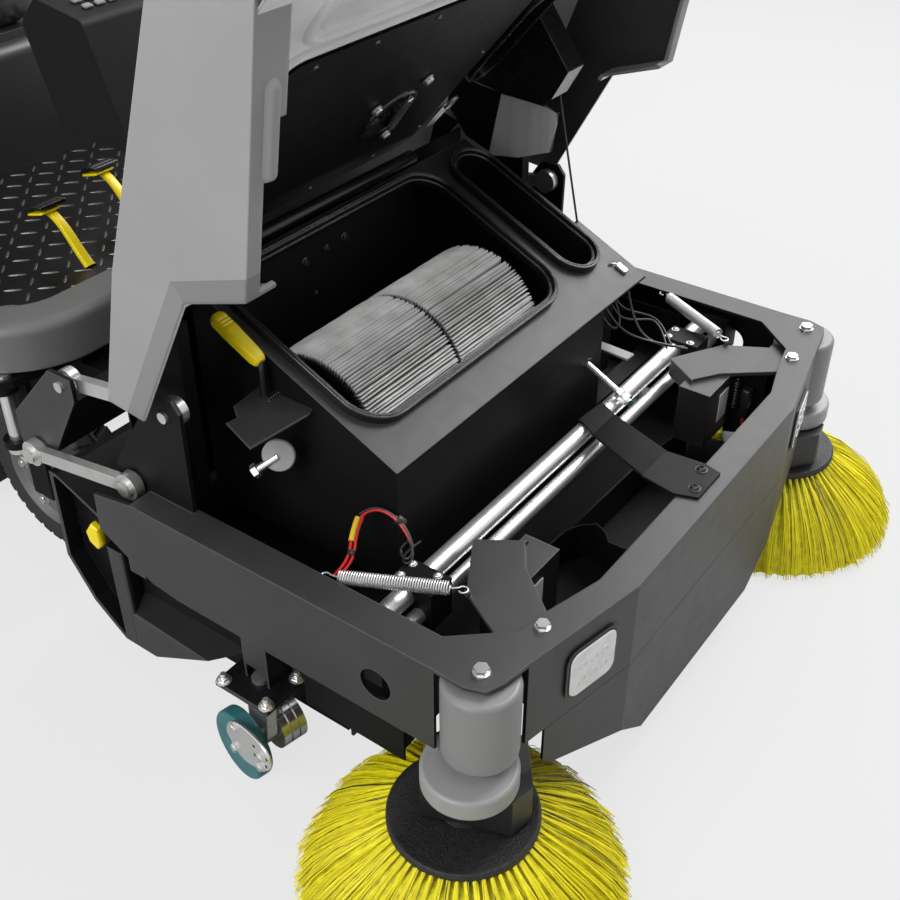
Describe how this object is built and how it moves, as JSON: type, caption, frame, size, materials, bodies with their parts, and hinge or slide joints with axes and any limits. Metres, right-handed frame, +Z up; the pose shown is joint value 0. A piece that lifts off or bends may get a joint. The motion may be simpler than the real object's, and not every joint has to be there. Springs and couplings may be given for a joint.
{
  "type": "ride-on floor scrubber sweeper",
  "caption": "Ride-on floor scrubber with a bumper frame, side brushes, sweeping roller, pleated filter under an open hood, hopper, scrub deck, seat, tank and curved squeegee.",
  "frame": {"origin": "on the floor, in the middle of the machine's footprint", "axes": "+Z up, the front faces -Y, +X is the driver's left"},
  "size_m": [1.776, 2.716, 1.5258],
  "materials": {
    "frame_coat": "fine texture powder coat",
    "grey_shell": "grained moulded plastic",
    "bumper_grey": "moulded polyurethane",
    "zinc": "bright zinc plate",
    "black_rubber": "matt moulded rubber",
    "black_plastic": "fine grained plastic",
    "pleat_media": "pleated polyester felt",
    "yellow_parts": "moulded plastic",
    "bristles": "nylon bristles",
    "castor_tread": "moulded polyurethane tread",
    "tyre_black": "solid rubber",
    "tread_plate": "studded rubber mat",
    "lamp": "clear lens in a black bezel",
    "seat_vinyl": "grained vinyl",
    "battery_case": "plain block",
    "roller_brush": "nylon bristle rows"
  },
  "bodies": {
    "chassis": {"front_frame": "frame_coat", "nose_apron": "frame_coat", "headlamps": "lamp", "pivot_pins": "zinc", "arm_springs": "zinc", "cross_tubes": "zinc", "tube_mounts": "frame_coat", "filter_housing": "frame_coat", "filter_seals": "black_rubber", "filter_cartridge": "pleat_media", "lock_lever": "yellow_parts", "sweep_tunnel": "frame_coat", "hopper": "frame_coat", "link_arms": "zinc", "hinge_towers": "black_plastic", "bulkhead": "frame_coat", "chassis_frame": "frame_coat", "rear_axle": "frame_coat", "platform_deck": "tread_plate", "platform_sill": "grey_shell", "pedals": "yellow_parts", "dash_console": "grey_shell", "steering_column": "black_plastic", "seat_console": "grey_shell", "battery": "battery_case", "seat_cushion": "seat_vinyl", "seat_back": "seat_vinyl", "rear_tank": "grey_shell", "scrub_deck": "frame_coat", "squeegee": "frame_coat", "rubber_strips": "black_rubber", "suction_hose": "black_rubber"},
    "hood": {"hood_shell": "grey_shell", "filter_lid": "frame_coat", "fan_unit": "black_plastic"},
    "steering_wheel": {"steering_wheel": "black_plastic"},
    "tank_lid": {"tank_lid": "black_plastic"},
    "sweep_roller": {"sweep_roller": "roller_brush"},
    "scrub_roller_front": {"scrub_roller_front": "roller_brush"},
    "scrub_roller_rear": {"scrub_roller_rear": "roller_brush"},
    "corner_roller_left": {"corner_roller_left": "bumper_grey"},
    "brush_arm_left": {"brush_arm_left": "frame_coat"},
    "side_brush_left": {"side_brush_left": "bristles"},
    "castor_left": {"castor_fork_left": "zinc"},
    "castor_wheel_left": {"castor_wheel_left": "castor_tread"},
    "steer_left": {"knuckle_left": "frame_coat"},
    "front_wheel_left": {"front_wheel_left": "tyre_black"},
    "rear_wheel_left": {"rear_wheel_left": "tyre_black"},
    "corner_roller_right": {"corner_roller_right": "bumper_grey"},
    "brush_arm_right": {"brush_arm_right": "frame_coat"},
    "side_brush_right": {"side_brush_right": "bristles"},
    "castor_right": {"castor_fork_right": "zinc"},
    "castor_wheel_right": {"castor_wheel_right": "castor_tread"},
    "steer_right": {"knuckle_right": "frame_coat"},
    "front_wheel_right": {"front_wheel_right": "tyre_black"},
    "rear_wheel_right": {"rear_wheel_right": "tyre_black"}
  },
  "joints": [
    {"name": "corner_roller_spin_left", "type": "hinge", "parent": "chassis", "child": "corner_roller_left", "pos_m": [0.589, -1.092, 0.4], "axis": [0, 0, 1], "continuous": true},
    {"name": "brush_arm_swing_left", "type": "hinge", "parent": "chassis", "child": "brush_arm_left", "pos_m": [0.462, -1.114, 0.44], "axis": [0, 0, 1], "range_deg": [0, 12]},
    {"name": "side_brush_spin_left", "type": "hinge", "parent": "brush_arm_left", "child": "side_brush_left", "pos_m": [0.604, -1.074, 0.16], "axis": [0, 0, 1], "continuous": true},
    {"name": "castor_swivel_left", "type": "hinge", "parent": "chassis", "child": "castor_left", "pos_m": [0.612, -0.655, 0.196], "axis": [0, 0, 1], "continuous": true},
    {"name": "castor_wheel_spin_left", "type": "hinge", "parent": "castor_left", "child": "castor_wheel_left", "pos_m": [0.60951, -0.64326, 0.068], "axis": [0.9781, 0.2079, 0], "continuous": true},
    {"name": "steer_left", "type": "hinge", "parent": "chassis", "child": "steer_left", "pos_m": [0.485, 0.123, 0.4], "axis": [0, 0, 1], "range_deg": [-30, 30]},
    {"name": "front_wheel_spin_left", "type": "hinge", "parent": "steer_left", "child": "front_wheel_left", "pos_m": [0.395, 0.123, 0.18], "axis": [1, 0, 0], "continuous": true},
    {"name": "rear_wheel_spin_left", "type": "hinge", "parent": "chassis", "child": "rear_wheel_left", "pos_m": [0.47, 0.993, 0.205], "axis": [1, 0, 0], "continuous": true},
    {"name": "corner_roller_spin_right", "type": "hinge", "parent": "chassis", "child": "corner_roller_right", "pos_m": [-0.589, -1.092, 0.4], "axis": [0, 0, 1], "continuous": true},
    {"name": "brush_arm_swing_right", "type": "hinge", "parent": "chassis", "child": "brush_arm_right", "pos_m": [-0.462, -1.114, 0.44], "axis": [0, 0, 1], "range_deg": [-12, 0]},
    {"name": "side_brush_spin_right", "type": "hinge", "parent": "brush_arm_right", "child": "side_brush_right", "pos_m": [-0.604, -1.074, 0.16], "axis": [0, 0, 1], "continuous": true},
    {"name": "castor_swivel_right", "type": "hinge", "parent": "chassis", "child": "castor_right", "pos_m": [-0.612, -0.655, 0.196], "axis": [0, 0, 1], "continuous": true},
    {"name": "castor_wheel_spin_right", "type": "hinge", "parent": "castor_right", "child": "castor_wheel_right", "pos_m": [-0.60951, -0.64326, 0.068], "axis": [0.9781, -0.2079, 0], "continuous": true},
    {"name": "steer_right", "type": "hinge", "parent": "chassis", "child": "steer_right", "pos_m": [-0.485, 0.123, 0.4], "axis": [0, 0, 1], "range_deg": [-30, 30]},
    {"name": "front_wheel_spin_right", "type": "hinge", "parent": "steer_right", "child": "front_wheel_right", "pos_m": [-0.395, 0.123, 0.18], "axis": [1, 0, 0], "continuous": true},
    {"name": "rear_wheel_spin_right", "type": "hinge", "parent": "chassis", "child": "rear_wheel_right", "pos_m": [-0.47, 0.993, 0.205], "axis": [1, 0, 0], "continuous": true},
    {"name": "hood_hinge", "type": "hinge", "parent": "chassis", "child": "hood", "pos_m": [0, -0.352, 0.79], "axis": [1, 0, 0], "range_deg": [0, 74]},
    {"name": "steering_wheel_turn", "type": "hinge", "parent": "chassis", "child": "steering_wheel", "pos_m": [0, 0.263, 1.175], "axis": [0, 0.5299, 0.848], "range_deg": [-300, 300]},
    {"name": "tank_lid_hinge", "type": "hinge", "parent": "chassis", "child": "tank_lid", "pos_m": [0, 1.174, 1.339], "axis": [1, 0, 0], "range_deg": [0, 80]},
    {"name": "sweep_roller_spin", "type": "hinge", "parent": "chassis", "child": "sweep_roller", "pos_m": [0, -0.572, 0.143], "axis": [1, 0, 0], "continuous": true},
    {"name": "scrub_spin_front", "type": "hinge", "parent": "chassis", "child": "scrub_roller_front", "pos_m": [0, 0.468, 0.075], "axis": [1, 0, 0], "continuous": true},
    {"name": "scrub_spin_rear", "type": "hinge", "parent": "chassis", "child": "scrub_roller_rear", "pos_m": [0, 0.638, 0.075], "axis": [1, 0, 0], "continuous": true}
  ],
  "couplings": [
    {"joint": "steer_right", "follows": "steer_left", "ratio": 1}
  ]
}
